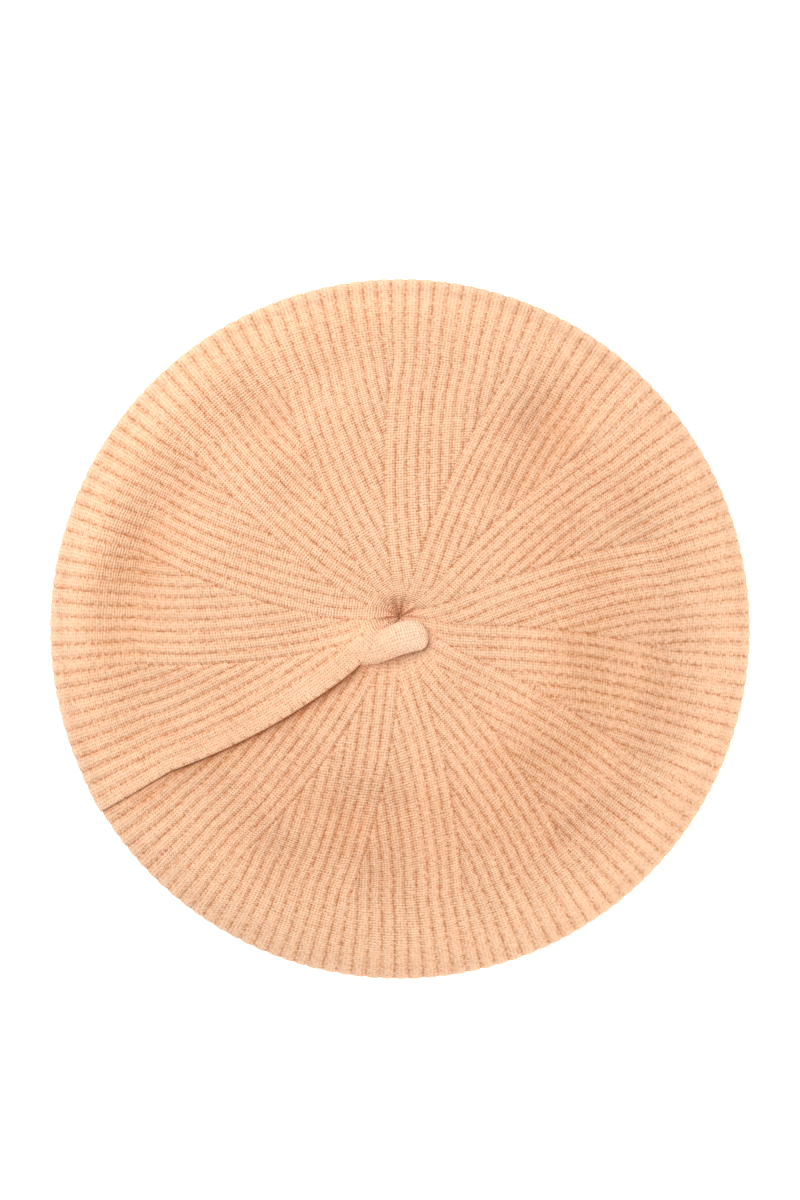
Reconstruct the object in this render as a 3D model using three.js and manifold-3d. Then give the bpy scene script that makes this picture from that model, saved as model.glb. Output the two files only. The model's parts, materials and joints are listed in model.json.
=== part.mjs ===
// A knitted wool beret lying crown up, as it comes apart on a bench: the knit body, its folded rib
// headband with an elastic inside, the yarns that close and gather it, the stub and the labels.
// Millimetres, +Z up. The origin is on the table, under the middle of the crown. The linked seam of
// the body is at the back, +Y.
import * as THREE from "three";
import Module from "manifold-3d";
import { mergeVertices } from "three/addons/utils/BufferGeometryUtils.js";

const wasm = await Module();
wasm.setup();

// Driving dimensions.
const BERET_RADIUS = 140; // outside of the puffed rim
const FABRIC_THICKNESS = 2.2; // one layer of ribbed knit
const GAP = 0.3; // clearance between touching pieces
const FACET_ROOM = 0.05; // and a little more beside a faceted ring
const RING_SEGMENTS = 48;
const PROFILE_STEPS = 30;

const HEADBAND_HEIGHT = 25;
const HEADBAND_INNER_RADIUS = 80; // relaxed; it stretches over the head
const HEADBAND_LAYER = 2; // one layer of the folded strip
const HEADBAND_SLOT = FABRIC_THICKNESS + 2 * GAP; // between its layers, where the body is linked in
const SLOT_RADIUS = HEADBAND_INNER_RADIUS + HEADBAND_LAYER + HEADBAND_SLOT / 2;
const HEADBAND_OUTER_RADIUS = HEADBAND_INNER_RADIUS + 2 * HEADBAND_LAYER + HEADBAND_SLOT;
const BODY_TUCK = 4.5; // how deep the body's edge goes into the headband

const ELASTIC_DIAMETER = 1.8;
const ELASTIC_LIFT = 0.2; // it hangs a little above the headband's fold
const YARN_DIAMETER = 1.2;
const THREAD_DIAMETER = 0.6;
const LINKING_CHAIN = { height: 22.8, diameter: 0.9 };
const END_SEAM = { bottom: 1, top: 20, diameter: 1 };
const BACK_SEAM_START = 16; // from the axis
const GATHER_RING = { radius: 6, height: 28.9, diameter: 1.6 };
const GATHER_KNOT = { height: 28.6, radius: 1.8, belly: 2, half: 0.5 };

const STALK_ROOT = new THREE.Vector3(-1.8, 12.9, 41.2); // centre of its round root, and its hinge
const STALK_HEADING = THREE.MathUtils.degToRad(256.8); // from +X, seen from above
const STALK_SPAN = 17; // between the centres of its two round ends
const STALK_ROOT_RADIUS = 4.6;
const STALK_BELLY_RADIUS = 5.3;
const STALK_TIP_RADIUS = 4.9;
const STITCH_HOLE = { radius: 0.95, height: 35, length: 12 };
const ANCHOR_KNOT = { height: 31.4, radius: 1.5, shoulder: 1.1 };

const WOVEN_LABEL = { width: 45, height: 15, thickness: 0.7, bottom: 5, sideMargin: 2, endMargin: 1.5 };
const CARE_LABEL = { width: 24, height: 18, thickness: 0.6, bottom: 3, x: -78.3, margin: 2 };

// Colours, from the beret's own yarn to its labels.
const WOOL = 0xf2c19c;
const WOOL_BAND = 0xf0bf99;
const WOOL_YARN = 0xeab78f;
const STUB_WOOL = 0xf8c9a4;
const ELASTIC = 0xf4f0ea;
const LABEL_CLOTH = 0xfaf3e8;
const SATIN = 0xfcfaf6;
const THREAD = 0xf3e3d0;

const UP = new THREE.Vector3(0, 1, 0);

function finish(colour, roughness) {
  return new THREE.MeshStandardMaterial({ color: colour, roughness, metalness: 0 });
}

function piece(name, geometry, colour, roughness = 0.95) {
  const mesh = new THREE.Mesh(geometry, finish(colour, roughness));
  mesh.name = name;
  return mesh;
}

function circle(centreX, centreY, radius, sides) {
  const points = [];
  for (let i = 0; i < sides; i += 1) {
    const angle = (2 * Math.PI * i) / sides;
    points.push(new THREE.Vector2(centreX + radius * Math.cos(angle), centreY + radius * Math.sin(angle)));
  }
  return points;
}

// A closed outline of (radius, height) points, turned once round the Z axis.
function turned(outline, segments = RING_SEGMENTS) {
  const closed = [...outline, outline[0].clone()];
  return new THREE.LatheGeometry(closed, segments).rotateX(Math.PI / 2);
}

// A round yarn along a curve.
function yarn(curve, diameter, steps, sides = 6) {
  const section = new THREE.Shape(circle(0, 0, diameter / 2, sides));
  return new THREE.ExtrudeGeometry(section, { steps, extrudePath: curve, bevelEnabled: false });
}

function merged(geometry) {
  const bare = geometry.clone();
  bare.deleteAttribute("normal");
  bare.deleteAttribute("uv");
  return mergeVertices(bare, 1e-3);
}

function solid(geometry) {
  const shared = merged(geometry);
  const mesh = new wasm.Mesh({
    numProp: 3,
    vertProperties: shared.attributes.position.array,
    triVerts: new Uint32Array(shared.index.array),
  });
  return new wasm.Manifold(mesh);
}

function geometryOf(manifold) {
  const mesh = manifold.getMesh();
  const geometry = new THREE.BufferGeometry();
  geometry.setAttribute("position", new THREE.BufferAttribute(mesh.vertProperties, 3));
  geometry.setIndex(new THREE.BufferAttribute(mesh.triVerts, 1));
  geometry.computeVertexNormals();
  return geometry;
}

// The middle of the cloth from the gather hole, over the crown and the puffed rim, and back under
// to the headband.
function crownToHeadband() {
  const rim = BERET_RADIUS - FABRIC_THICKNESS / 2;
  return new THREE.SplineCurve([
    new THREE.Vector2(3, 30),
    new THREE.Vector2(8, 33.4),
    new THREE.Vector2(16, 35.8),
    new THREE.Vector2(30, 37.2),
    new THREE.Vector2(50, 37.3),
    new THREE.Vector2(70, 35.8),
    new THREE.Vector2(87, 32.8),
    new THREE.Vector2(103, 30),
    new THREE.Vector2(118, 28.6),
    new THREE.Vector2(131, 24.4),
    new THREE.Vector2(rim, 15),
    new THREE.Vector2(132.5, 5.6),
    new THREE.Vector2(118, 1.8),
    new THREE.Vector2(105, 4),
    new THREE.Vector2(96, 11),
    new THREE.Vector2(91.4, 19),
  ]).getPoints(PROFILE_STEPS);
}

// The whole middle line, which goes on over the headband's top edge and down between its layers.
function fabricMiddle() {
  const slotTop = HEADBAND_HEIGHT + 1;
  const bendRadius = 2.95;
  const bend = new THREE.Path();
  bend.absarc(SLOT_RADIUS + bendRadius, slotTop, bendRadius, 0, Math.PI, false);
  const tuck = new THREE.Vector2(SLOT_RADIUS, HEADBAND_HEIGHT - BODY_TUCK);
  return [...crownToHeadband(), ...bend.getPoints(4), tuck];
}

// The line that runs beside another one, on its left at a positive distance.
function beside(line, distance) {
  return line.map((point, i) => {
    const before = line[Math.max(i - 1, 0)];
    const after = line[Math.min(i + 1, line.length - 1)];
    const along = after.clone().sub(before).normalize();
    return new THREE.Vector2(point.x - along.y * distance, point.y + along.x * distance);
  });
}

function stitchHole() {
  const { radius, height, length } = STITCH_HOLE;
  const drill = new THREE.CylinderGeometry(radius, radius, length, 12);
  return drill.rotateX(Math.PI / 2).translate(STALK_ROOT.x, STALK_ROOT.y, height);
}

function knitBody() {
  const middle = fabricMiddle();
  const outside = beside(middle, FABRIC_THICKNESS / 2).reverse();
  const inside = beside(middle, -FABRIC_THICKNESS / 2);
  const cloth = turned([...outside, ...inside]);
  return piece("knit_body", geometryOf(solid(cloth).subtract(solid(stitchHole()))), WOOL);
}

// The strip is folded along its lower edge, so it has two layers and a closed bottom.
function headband() {
  const inner = HEADBAND_INNER_RADIUS;
  const outer = HEADBAND_OUTER_RADIUS;
  const outline = [
    new THREE.Vector2(inner, 0),
    new THREE.Vector2(outer, 0),
    new THREE.Vector2(outer, HEADBAND_HEIGHT),
    new THREE.Vector2(outer - HEADBAND_LAYER, HEADBAND_HEIGHT),
    new THREE.Vector2(outer - HEADBAND_LAYER, HEADBAND_LAYER),
    new THREE.Vector2(inner + HEADBAND_LAYER, HEADBAND_LAYER),
    new THREE.Vector2(inner + HEADBAND_LAYER, HEADBAND_HEIGHT),
    new THREE.Vector2(inner, HEADBAND_HEIGHT),
  ];
  return piece("headband", turned(outline), WOOL_BAND);
}

function ring(name, radius, height, diameter, colour) {
  return piece(name, turned(circle(radius, height, diameter / 2, 8)), colour);
}

function headbandElastic() {
  const height = HEADBAND_LAYER + GAP + ELASTIC_DIAMETER / 2 + ELASTIC_LIFT;
  return ring("headband_elastic", SLOT_RADIUS, height, ELASTIC_DIAMETER, ELASTIC);
}

function linkingChain() {
  const { height, diameter } = LINKING_CHAIN;
  const radius = HEADBAND_INNER_RADIUS - GAP - diameter / 2 - FACET_ROOM;
  return ring("headband_linking_chain", radius, height, diameter, WOOL_YARN);
}

// It closes the headband's strip into a loop, on the outside at the back.
function headbandEndSeam() {
  const y = HEADBAND_OUTER_RADIUS + GAP + YARN_DIAMETER / 2;
  const line = new THREE.LineCurve3(
    new THREE.Vector3(0, y, END_SEAM.bottom),
    new THREE.Vector3(0, y, END_SEAM.top),
  );
  return piece("headband_end_seam", yarn(line, END_SEAM.diameter, 1, 8), WOOL_YARN);
}

// The chain that links the body's two edges, along the inside of the cloth at the back.
function backSeamChain() {
  const inwards = -(FABRIC_THICKNESS / 2 + GAP + YARN_DIAMETER / 2 + 2 * FACET_ROOM);
  const inside = beside(crownToHeadband(), inwards).slice(0, -1);
  const along = inside.filter((point) => point.x > BACK_SEAM_START);
  const path = new THREE.CatmullRomCurve3(along.map((point) => new THREE.Vector3(0, point.x, point.y)));
  return piece("back_seam_chain", yarn(path, YARN_DIAMETER, 56), WOOL_YARN);
}

function crownGatherYarn() {
  const { radius, height, diameter } = GATHER_RING;
  return ring("crown_gather_yarn", radius, height, diameter, WOOL_YARN);
}

// A round-ended shape on the Z axis, from its lowest point to its highest.
function roundEnded(low, lowRadius, bellyRadius, high, highRadius, segments) {
  const quarter = 5;
  const outline = [];
  for (let i = 0; i <= quarter; i += 1) {
    const angle = (Math.PI / 2) * (i / quarter);
    const x = i === 0 ? 0 : lowRadius * Math.sin(angle);
    outline.push(new THREE.Vector2(x, low - lowRadius * Math.cos(angle)));
  }
  outline.push(new THREE.Vector2(bellyRadius, (low + high) / 2));
  for (let i = 0; i <= quarter; i += 1) {
    const angle = (Math.PI / 2) * (i / quarter);
    const x = i === quarter ? 0 : highRadius * Math.cos(angle);
    outline.push(new THREE.Vector2(x, high + highRadius * Math.sin(angle)));
  }
  return new THREE.LatheGeometry(outline, segments);
}

function gatherKnot() {
  const { height, radius, belly, half } = GATHER_KNOT;
  const mesh = piece("gather_knot", roundEnded(-half, radius, belly, half, radius, 12), WOOL_YARN);
  mesh.position.z = height;
  return mesh;
}

// The yarn that holds the stub's root, through the crown to a knot of its own on the inside.
function stalkAnchorYarn() {
  const top = STALK_ROOT.z - STALK_ROOT_RADIUS - GAP - FACET_ROOM;
  const { height, radius: knotRadius, shoulder } = ANCHOR_KNOT;
  const radius = YARN_DIAMETER / 2;
  const outline = [
    new THREE.Vector2(0, height - 1.4),
    new THREE.Vector2(shoulder, height - 0.9),
    new THREE.Vector2(knotRadius, height),
    new THREE.Vector2(shoulder, height + 0.8),
    new THREE.Vector2(radius, height + 1.2),
    new THREE.Vector2(radius, top),
    new THREE.Vector2(0, top),
  ];
  const mesh = piece("stalk_anchor_yarn", new THREE.LatheGeometry(outline, 10).rotateX(Math.PI / 2), WOOL_YARN);
  mesh.position.set(STALK_ROOT.x, STALK_ROOT.y, 0);
  return mesh;
}

// The knit stub lies across the middle of the crown, and lifts about its root.
function stalk() {
  const shape = roundEnded(0, STALK_ROOT_RADIUS, STALK_BELLY_RADIUS, STALK_SPAN, STALK_TIP_RADIUS, 16);
  const mesh = piece("stalk", shape, STUB_WOOL);
  const heading = new THREE.Vector3(Math.cos(STALK_HEADING), Math.sin(STALK_HEADING), 0);
  mesh.position.copy(STALK_ROOT);
  mesh.quaternion.setFromUnitVectors(UP, heading);
  return mesh;
}

// A blank woven patch that follows the headband's inner face at the back.
function wovenLabel() {
  const outer = HEADBAND_INNER_RADIUS - 2 * GAP;
  const inner = outer - WOVEN_LABEL.thickness;
  const halfAngle = WOVEN_LABEL.width / outer / 2;
  const middle = Math.PI / 2;
  const plan = new THREE.Shape();
  plan.absarc(0, 0, outer, middle - halfAngle, middle + halfAngle, false);
  plan.absarc(0, 0, inner, middle + halfAngle, middle - halfAngle, true);
  const shape = new THREE.ExtrudeGeometry(plan, {
    depth: WOVEN_LABEL.height,
    bevelEnabled: false,
    curveSegments: 12,
  });
  const mesh = piece("woven_label", shape, LABEL_CLOTH, 0.8);
  mesh.position.z = WOVEN_LABEL.bottom;
  return mesh;
}

// One short row of stitches down each end of the woven label; side is -1 or 1.
function wovenLabelStitch(name, side) {
  const radius = HEADBAND_INNER_RADIUS - 3 * GAP - WOVEN_LABEL.thickness - THREAD_DIAMETER / 2;
  const angle = Math.PI / 2 - (side * (WOVEN_LABEL.width / 2 - WOVEN_LABEL.sideMargin)) / radius;
  const bottom = WOVEN_LABEL.bottom + WOVEN_LABEL.endMargin;
  const top = WOVEN_LABEL.bottom + WOVEN_LABEL.height - WOVEN_LABEL.endMargin;
  const [x, y] = [radius * Math.cos(angle), radius * Math.sin(angle)];
  const line = new THREE.LineCurve3(new THREE.Vector3(x, y, bottom), new THREE.Vector3(x, y, top));
  return piece(name, yarn(line, THREAD_DIAMETER, 1), THREAD);
}

function careLabelTop() {
  return CARE_LABEL.bottom + CARE_LABEL.height;
}

// A blank satin loop that hangs from the headband's linked edge, and flips about its top.
function careLabel() {
  const shape = new THREE.BoxGeometry(CARE_LABEL.thickness, CARE_LABEL.width, CARE_LABEL.height);
  const mesh = piece("care_label", shape, SATIN, 0.35);
  mesh.position.set(CARE_LABEL.x, 0, CARE_LABEL.bottom + CARE_LABEL.height / 2);
  return mesh;
}

function careLabelStitch() {
  const z = careLabelTop() + GAP + THREAD_DIAMETER / 2 + FACET_ROOM;
  const half = CARE_LABEL.width / 2 - CARE_LABEL.margin;
  const line = new THREE.LineCurve3(
    new THREE.Vector3(CARE_LABEL.x, -half, z),
    new THREE.Vector3(CARE_LABEL.x, half, z),
  );
  return piece("care_label_stitch", yarn(line, THREAD_DIAMETER, 1), THREAD);
}

const beret = new THREE.Group();
beret.add(
  knitBody(),
  headband(),
  headbandElastic(),
  linkingChain(),
  headbandEndSeam(),
  backSeamChain(),
  crownGatherYarn(),
  gatherKnot(),
  stalkAnchorYarn(),
  stalk(),
  wovenLabel(),
  wovenLabelStitch("woven_label_stitch_left", -1),
  wovenLabelStitch("woven_label_stitch_right", 1),
  careLabel(),
  careLabelStitch(),
);

export default beret;
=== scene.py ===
"""A ribbed wool beret lying crown up on a pale floor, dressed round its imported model.

Metres, +Z up, with the linked seam at the back, +Y. Sizes that the model holds come from the frame.
Angles are seen from above, counter-clockwise from +X.
"""

import json
from math import asin, cos, hypot, pi, radians, sin, sqrt

import bpy
import numpy as np
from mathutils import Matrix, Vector

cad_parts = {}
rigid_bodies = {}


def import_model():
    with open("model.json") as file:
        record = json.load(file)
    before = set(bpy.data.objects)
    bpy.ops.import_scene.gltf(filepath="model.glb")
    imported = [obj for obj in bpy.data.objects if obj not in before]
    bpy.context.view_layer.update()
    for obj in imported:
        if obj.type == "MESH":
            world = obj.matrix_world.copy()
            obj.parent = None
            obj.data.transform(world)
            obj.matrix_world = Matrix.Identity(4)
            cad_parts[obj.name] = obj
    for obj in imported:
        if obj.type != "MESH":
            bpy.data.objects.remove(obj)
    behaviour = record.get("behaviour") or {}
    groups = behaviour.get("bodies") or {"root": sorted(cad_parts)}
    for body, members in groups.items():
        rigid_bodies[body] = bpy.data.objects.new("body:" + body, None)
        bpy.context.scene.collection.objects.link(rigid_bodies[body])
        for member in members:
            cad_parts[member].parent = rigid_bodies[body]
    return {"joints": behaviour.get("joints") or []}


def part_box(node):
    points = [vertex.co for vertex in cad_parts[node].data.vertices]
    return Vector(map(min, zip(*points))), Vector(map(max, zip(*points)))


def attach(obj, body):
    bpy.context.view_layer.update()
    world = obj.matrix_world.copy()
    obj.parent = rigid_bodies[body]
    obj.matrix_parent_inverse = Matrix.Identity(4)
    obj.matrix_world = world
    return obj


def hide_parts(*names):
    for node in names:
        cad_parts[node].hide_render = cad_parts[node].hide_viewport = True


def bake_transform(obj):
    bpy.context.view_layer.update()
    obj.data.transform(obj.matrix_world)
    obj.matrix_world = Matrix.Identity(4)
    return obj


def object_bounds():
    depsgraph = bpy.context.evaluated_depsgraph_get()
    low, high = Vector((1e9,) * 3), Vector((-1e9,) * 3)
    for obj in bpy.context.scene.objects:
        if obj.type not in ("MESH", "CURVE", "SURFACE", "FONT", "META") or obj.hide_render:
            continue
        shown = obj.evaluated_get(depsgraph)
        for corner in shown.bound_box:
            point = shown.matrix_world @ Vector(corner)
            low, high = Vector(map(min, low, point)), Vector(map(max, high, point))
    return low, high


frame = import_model()
CAD_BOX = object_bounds()

MM = 0.001
TAU = 2 * pi

# The knit, as it was made: 15 gores in one cloth, with 10 ribs each at the rim.
GORES = 15
RIBS = 10
GORE_COLUMNS = 80
COLUMNS = GORES * GORE_COLUMNS
SEAM_ANGLE = radians(90)
WALL = 2.2 * MM
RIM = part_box("knit_body")[1].x
GORE_END = 0.757 * RIM  # beyond it every rib is radial
SWIRL = radians(10.5)  # how far the gore lines turn between there and the centre
COURSE = 1.1  # millimetres of cloth to a course
WALES = 4  # stitches across a rib

HEADBAND_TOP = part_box("headband")[1].z
HEADBAND_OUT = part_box("headband")[1].x
HEADBAND_LAYER = 2.0  # millimetres, one layer of the folded strip
ELASTIC_LOW, ELASTIC_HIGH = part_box("headband_elastic")
SLOT_R = (ELASTIC_HIGH.x - (ELASTIC_HIGH.z - ELASTIC_LOW.z) / 2) / MM  # between the band's layers
HEADBAND_IN = 2 * SLOT_R * MM - HEADBAND_OUT

# The stub lies level from its hinge; its heading is square to the hinge and to the vertical.
STUB_JOINT = [j for j in frame["joints"] if j["name"] == "stub_flop"][0]
STUB_HINGE = Vector(STUB_JOINT["pos_m"])
STUB_HEADING = Vector((0, 0, 1)).cross(Vector(STUB_JOINT["axis"])).normalized()
STUB_LOW, STUB_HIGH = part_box("stalk")
STUB_RADIUS = (STUB_HIGH.z - STUB_LOW.z) / 2 / MM
STUB_ROOT = (STUB_HINGE.x / MM, STUB_HINGE.y / MM)
STUB_HEIGHT = STUB_HINGE.z / MM
STUB_AXIS = (STUB_HEADING.x, STUB_HEADING.y)
STUB_REACH = (STUB_HINGE.y - STUB_LOW.y) / MM / abs(STUB_HEADING.y)
GATHER_SHIFT = np.array([4.2, -2.6])  # the pucker sits a little to one side of the middle


# --- small helpers


def smooth(low, high, x):
    """0 below low, 1 above high, and an S curve between them."""
    t = np.clip((x - low) / (high - low), 0, 1)
    return t * t * (3 - 2 * t)


def bell(x):
    return np.exp(-x * x)


def turn_between(a, b):
    """The signed angle from b to a, at most half a turn."""
    return (a - b + pi) % TAU - pi


def curve_through(points, steps=24):
    """A smooth line through the points, with the same number of steps between each two."""
    p = np.array(points, float)
    p = np.vstack([2 * p[0] - p[1], p, 2 * p[-1] - p[-2]])
    t = np.arange(steps)[:, None] / steps
    spans = []
    for i in range(1, len(p) - 2):
        a, b, c, d = p[i - 1 : i + 3]
        cubic = (3 * b - a - 3 * c + d) * t**3 + (2 * a - 5 * b + 4 * c - d) * t**2
        spans.append(0.5 * (cubic + (c - a) * t + 2 * b))
    return np.vstack([*spans, p[-2:-1]])


def unit(vectors):
    return vectors / np.linalg.norm(vectors, axis=-1, keepdims=True)


def run_along(line):
    """The length of a line up to each of its points."""
    return np.concatenate([[0], np.cumsum(np.linalg.norm(np.diff(line, axis=0), axis=1))])


def around(radius, angle, height):
    """Points about the upright axis."""
    return np.stack(np.broadcast_arrays(radius * np.cos(angle), radius * np.sin(angle), height), -1)


def box_mm(node):
    """A node's lowest and highest corners, in millimetres."""
    low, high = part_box(node)
    return low / MM, high / MM


def placed(name, data):
    """An object in the scene."""
    item = bpy.data.objects.new(name, data)
    bpy.context.scene.collection.objects.link(item)
    return item


def mesh_object(name, verts, faces):
    mesh = bpy.data.meshes.new(name)
    mesh.from_pydata(np.asarray(verts, float).tolist(), [], faces)
    mesh.shade_smooth()
    return placed(name, mesh)


def corner_pairs(piece, name, pairs):
    """Stores two numbers for each face corner. "knit" is (rib number, millimetres along the rib), and
    "gore" is millimetres (from the nearest gore line, from the middle)."""
    layer = piece.data.uv_layers.new(name=name)
    layer.data.foreach_set("uv", np.asarray(pairs, np.float32).ravel())


def point_values(piece, name, values):
    """Stores a number for each point, for the materials to read."""
    stored = piece.data.attributes.new(name, "FLOAT", "POINT")
    stored.data.foreach_set("value", np.asarray(values, np.float32))


def tube_skin(rings, closed=False):
    """(points, faces, (side, ring) of each face corner) of a skin through rings of points, with a
    middle point at each end. rings is an array (ring, side, xyz)."""
    count, sides = rings.shape[:2]
    verts = rings.reshape(-1, 3)
    faces, corners = [], []
    for i in range(count if closed else count - 1):
        j = (i + 1) % count
        for k in range(sides):
            m = (k + 1) % sides
            faces.append((i * sides + k, i * sides + m, j * sides + m, j * sides + k))
            corners += [(k, i), (k + 1, i), (k + 1, i + 1), (k, i + 1)]
    if not closed:
        first, last, top = len(verts), len(verts) + 1, (count - 1) * sides
        verts = np.vstack([verts, rings[0].mean(0), rings[-1].mean(0)])
        for k in range(sides):
            m = (k + 1) % sides
            faces.append((m, k, first))
            faces.append((top + k, top + m, last))
            corners += [(k + 1, 0), (k, 0), (k + 0.5, -1)]
            corners += [(k, count - 1), (k + 1, count - 1), (k + 0.5, count)]
    return verts, faces, np.array(corners, float)


def tube(name, rings, closed=False):
    verts, faces, corners = tube_skin(rings, closed)
    return mesh_object(name, verts, faces), corners


def path_normals(line, closed=False):
    """Two unit normals that don't twist, at each point of a line."""
    if closed:
        along = np.roll(line, -1, 0) - np.roll(line, 1, 0)
    else:
        along = np.gradient(line, axis=0)
    along = unit(along)
    side = np.zeros_like(along)
    side[0] = unit(np.cross(along[0], (0.1, 0.2, 1)))
    for i in range(1, len(line)):
        side[i] = unit(side[i - 1] - (side[i - 1] @ along[i]) * along[i])
    return side, np.cross(along, side)


# --- materials


def set_inputs(node, values):
    for name, value in values.items():
        node.inputs[name].default_value = value


class Field:
    """A number that varies over the surface, written as arithmetic on shader sockets."""

    def __init__(self, tree, socket):
        self.tree, self.socket = tree, socket

    def _math(self, operation, *others, clamp=False):
        node = self.tree.nodes.new("ShaderNodeMath")
        node.operation = operation
        node.use_clamp = clamp
        for i, value in enumerate((self, *others)):
            if isinstance(value, Field):
                self.tree.links.new(value.socket, node.inputs[i])
            else:
                node.inputs[i].default_value = value
        return Field(self.tree, node.outputs[0])

    def __add__(self, other):
        return self._math("ADD", other)

    def __sub__(self, other):
        return self._math("SUBTRACT", other)

    def __mul__(self, other):
        return self._math("MULTIPLY", other)

    def __rsub__(self, other):
        return (self * -1) + other

    def power(self, exponent):
        return self._math("POWER", exponent)

    def absolute(self):
        return self._math("ABSOLUTE")

    def part(self):
        return self._math("FRACT")

    def sine(self):
        return self._math("SINE")

    def clamped(self):
        return self._math("ADD", 0.0, clamp=True)

    def least(self, other):
        return self._math("MINIMUM", other)


class Paint:
    """One material's node tree, with a Principled shader."""

    def __init__(self, name, roughness, sheen=0.0, sheen_tint=(1, 1, 1)):
        self.material = bpy.data.materials.new(name)
        self.material.use_nodes = True
        self.tree = self.material.node_tree
        self.shader = self.tree.nodes["Principled BSDF"]
        set_inputs(self.shader, {"Roughness": roughness, "Specular IOR Level": 0.25})
        set_inputs(self.shader, {"Sheen Weight": sheen, "Sheen Roughness": 0.45})
        set_inputs(self.shader, {"Sheen Tint": (*sheen_tint, 1)})

    def coordinates(self, uv="knit"):
        node = self.tree.nodes.new("ShaderNodeUVMap")
        node.uv_map = uv
        split = self.tree.nodes.new("ShaderNodeSeparateXYZ")
        self.tree.links.new(node.outputs[0], split.inputs[0])
        return Field(self.tree, split.outputs[0]), Field(self.tree, split.outputs[1])

    def stored(self, name):
        node = self.tree.nodes.new("ShaderNodeAttribute")
        node.attribute_name = name
        return Field(self.tree, node.outputs["Fac"])

    def noise(self, scale, detail):
        """Soft noise over the piece, with about so many features to a metre."""
        place = self.tree.nodes.new("ShaderNodeTexCoord")
        node = self.tree.nodes.new("ShaderNodeTexNoise")
        set_inputs(node, {"Scale": scale, "Detail": detail})
        self.tree.links.new(place.outputs["Object"], node.inputs["Vector"])
        return Field(self.tree, node.outputs[0])

    def mix(self, share, low, high):
        """A colour that goes from low to high as share goes from 0 to 1."""
        node = self.tree.nodes.new("ShaderNodeMix")
        node.data_type = "RGBA"
        self.tree.links.new(share.socket, node.inputs["Factor"])
        for key, value in (("A", low), ("B", high)):
            found = [s for s in node.inputs if s.name == key and s.type == "RGBA"][0]
            if isinstance(value, bpy.types.NodeSocket):
                self.tree.links.new(value, found)
            else:
                found.default_value = (*value, 1)
        return [s for s in node.outputs if s.type == "RGBA"][0]

    def colour(self, socket):
        self.tree.links.new(socket, self.shader.inputs["Base Color"])

    def bump(self, height, distance, strength):
        node = self.tree.nodes.new("ShaderNodeBump")
        set_inputs(node, {"Distance": distance, "Strength": strength})
        self.tree.links.new(height.socket, node.inputs["Height"])
        self.tree.links.new(node.outputs[0], self.shader.inputs["Normal"])


# The wool as lit on its ridges and as in shade in its grooves: mixing towards GROOVE paints shade, and also
# random darker tone.
RIDGE = (0.94, 0.58, 0.365)
GROOVE = (0.62, 0.235, 0.085)
FLUFF = (1.0, 0.76, 0.60)
FIBRE_SIZE, SPECK_SIZE, DRIFT_SIZE, PATCH_SIZE = 1700, 900, 300, 60  # noise features to a metre
LINT_SIZE, YARN_PATCH_SIZE, WEAVE_PATCH_SIZE = 3000, 90, 120
STITCH_RELIEF = 0.32 * MM
EYELETS_PER_MM = 0.19  # along a gore line
# How far each thing takes the wool's colour from RIDGE towards GROOVE; all but PATCH_SHADE and SPECK_SHADE
# are painted shade.
COURSE_SHADE, HOLE_SHADE, EYELET_SHADE, HOLLOW_SHADE = 0.16, 0.75, 0.7, 0.80
GROOVE_SHADE, GROOVE_PIT_SHADE, PATCH_SHADE, SPECK_SHADE = 0.26, 0.58, 0.30, 0.82


def stitch(paint, rib, along, wales):
    """(loop, arm) of the stitches: loop goes from 0 between courses to 1 on a course, and arm from 0
    in a stitch's middle to 1 at its sides."""
    drift = paint.noise(DRIFT_SIZE, 1) - 0.5
    arm = ((rib * wales + drift * 0.5).part() * 2 - 1).absolute()
    course = along * (1 / COURSE) + arm * 0.3 + drift * 0.9
    return (course * TAU).sine() * 0.5 + 0.5, arm


def eyelets(paint):
    """Small holes along the gore lines, about 5 millimetres apart: the wool paints them dark, as shade in
    holes that the mesh doesn't have.
    """
    from_line, radius = paint.coordinates("gore")
    step = (radius * EYELETS_PER_MM + 0.5).part() - 0.5
    return (1 - from_line * from_line * 1.3 - step * step * 30.0).clamped()


def wool(name, wales=WALES, shaped=False):
    """Fine wool stitches: courses of small Vs across each rib, with dark pinholes in the grooves painted as
    shade. Shaped cloth has gore lines with eyelets, and says where its ribs fade and how much shade is
    painted into its colour."""
    paint = Paint(name, roughness=0.95, sheen=0.2, sheen_tint=(1.0, 0.93, 0.86))
    rib, along = paint.coordinates()
    loop, arm = stitch(paint, rib, along, wales)
    fibre = paint.noise(FIBRE_SIZE, 2)
    speck = paint.noise(SPECK_SIZE, 2)
    patch = paint.noise(PATCH_SIZE, 2)
    pit = ((speck - 0.38) * 3.6).clamped()
    hole = arm.power(2.0) * (1 - loop)
    groove = (1 - (rib * pi).sine().absolute()).power(1.4)
    fluff = fibre - 0.46
    # Painted shade between the courses and in the pinholes between stitches.
    dark = (1 - loop) * COURSE_SHADE + hole * pit * HOLE_SHADE
    if shaped:
        # A stored amount of painted shade: deeper colour and less fluff in dips, creases, the pocket and
        # under the stub.
        hollow = paint.stored("hollow")
        groove = groove * paint.stored("ribbed")
        fluff = fluff - hollow * 0.6
        dark = dark + eyelets(paint) * pit * EYELET_SHADE + hollow.clamped() * HOLLOW_SHADE
    # Painted shade in the grooves between the ribs.
    dark = dark + groove * (pit * GROOVE_PIT_SHADE + GROOVE_SHADE)
    # The painted shade, plus random patches and specks of darker or lighter tone.
    uneven = (dark + (patch - 0.5) * PATCH_SHADE + (speck - 0.5) * SPECK_SHADE).clamped()
    shade = paint.mix(uneven, RIDGE, GROOVE)
    paint.colour(paint.mix((fluff * 1.3 * (1 - uneven)).clamped(), shade, FLUFF))
    paint.bump(loop * 0.7 + fibre * 0.5 - hole * 0.6, STITCH_RELIEF, 1.0)
    return paint.material


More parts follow.
